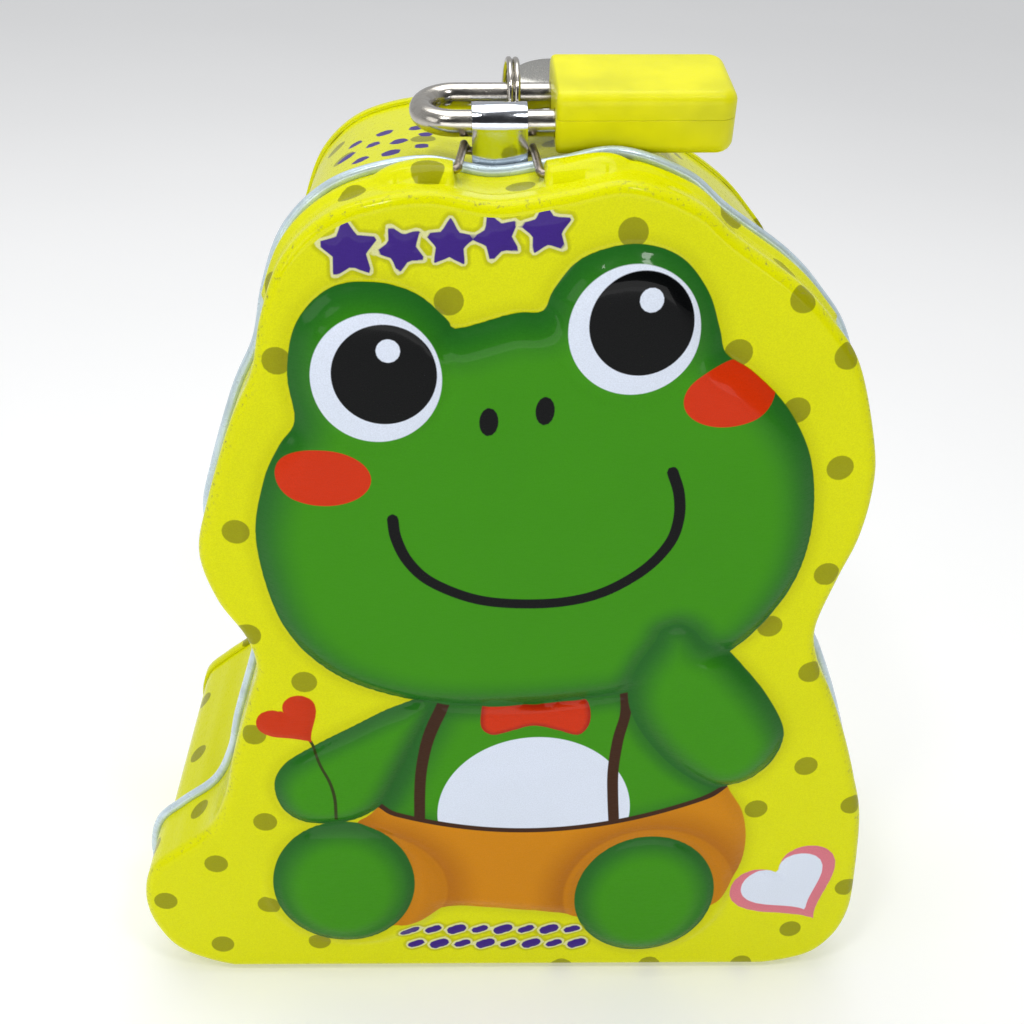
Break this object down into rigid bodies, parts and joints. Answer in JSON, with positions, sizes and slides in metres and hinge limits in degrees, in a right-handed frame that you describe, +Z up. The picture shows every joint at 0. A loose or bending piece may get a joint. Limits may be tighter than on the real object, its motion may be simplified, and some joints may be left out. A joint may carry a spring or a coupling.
{
  "type": "tin money box with padlock",
  "caption": "Shaped tinplate coin bank: embossed front lid hinged at the base, wire bail over a hasp, small padlock with keys on a split ring.",
  "frame": {"origin": "middle of the box's footprint, at the level of its lowest point, the underside of the lid's bottom bead", "axes": "+X to the right seen from the front, -Y towards the viewer (the lid's face looks along -Y), +Z up"},
  "size_m": [0.1322, 0.0612, 0.162],
  "materials": {
    "printed_tin": "printed tinplate under clear lacquer, yellow",
    "bare_tinplate": "bare tinplate",
    "hasp_plating": "bright plating on steel sheet",
    "steel_wire": "plated steel wire, slightly tarnished",
    "nickel_plate": "nickel plated",
    "yellow_plastic": "moulded, satin with a fine grain",
    "zinc_casting": "die cast, dull",
    "brass_plug": "turned",
    "key_steel": "stamped and nickel plated"
  },
  "bodies": {
    "tin_body": {"body_wall": "printed_tin", "back_panel": "printed_tin", "hinge_strap_left": "bare_tinplate", "hinge_strap_right": "bare_tinplate", "hinge_pin": "steel_wire", "hasp_plate": "hasp_plating", "hasp_rivet_left": "steel_wire", "hasp_rivet_right": "steel_wire"},
    "lid": {"front_lid": "printed_tin"},
    "bail": {"latch_bail": "steel_wire"},
    "shackle": {"shackle": "nickel_plate"},
    "padlock_case": {"padlock_cover_upper": "yellow_plastic", "padlock_cover_lower": "yellow_plastic", "padlock_core": "zinc_casting", "shackle_spring": "steel_wire", "latch_spring": "steel_wire"},
    "plug": {"lock_plug": "brass_plug"},
    "latch": {"lock_latch": "zinc_casting"},
    "key_ring": {"key_ring": "nickel_plate"},
    "key_lower": {"key_lower": "key_steel"},
    "key_upper": {"key_upper": "key_steel"}
  },
  "joints": [
    {"name": "lid_hinge", "type": "hinge", "parent": "tin_body", "child": "lid", "pos_m": [0, -0.01705, 0.00085], "axis": [1, 0, 0], "range_deg": [0, 150]},
    {"name": "bail_swing", "type": "hinge", "parent": "lid", "child": "bail", "pos_m": [0, -0.0223, 0.14895], "axis": [1, 0, 0], "range_deg": [0, 45]},
    {"name": "padlock_swing", "type": "hinge", "parent": "tin_body", "child": "shackle", "pos_m": [0, -0.0129, 0.15358], "axis": [0.9984, 0, 0.0558], "range_deg": [0, 60]},
    {"name": "shackle_release", "type": "slide", "parent": "shackle", "child": "padlock_case", "axis": [0.9984, 0, 0.0558], "range_m": [0, 0.006], "deforming": ["shackle_spring"]},
    {"name": "plug_turn", "type": "hinge", "parent": "padlock_case", "child": "plug", "pos_m": [0.01992, -0.00828, 0.15557], "axis": [0.9984, 0, 0.0558], "range_deg": [0, 90]},
    {"name": "latch_slide", "type": "slide", "parent": "padlock_case", "child": "latch", "axis": [-0.0105, 0.9823, 0.1871], "range_m": [0, 0.0009], "deforming": ["latch_spring"]},
    {"name": "ring_swing", "type": "hinge", "parent": "shackle", "child": "key_ring", "pos_m": [-0.00549, -0.00367, 0.15503], "axis": [0.9984, 0, 0.0558], "range_deg": [0, 12]},
    {"name": "key_lower_turn", "type": "hinge", "parent": "key_ring", "child": "key_lower", "pos_m": [-0.0054, 0.00429, 0.1527], "axis": [0, -0.309, 0.9511], "range_deg": [0, 15]},
    {"name": "key_upper_turn", "type": "hinge", "parent": "key_ring", "child": "key_upper", "pos_m": [-0.0054, 0.00443, 0.15394], "axis": [0, -0.309, 0.9511], "range_deg": [0, 15]}
  ],
  "couplings": [
    {"joint": "bail_swing", "follows": "lid_hinge", "ratio": 0.3},
    {"joint": "plug_turn", "follows": "shackle_release", "rad_per_m": 261.8},
    {"joint": "latch_slide", "follows": "shackle_release", "ratio": 0.15}
  ]
}
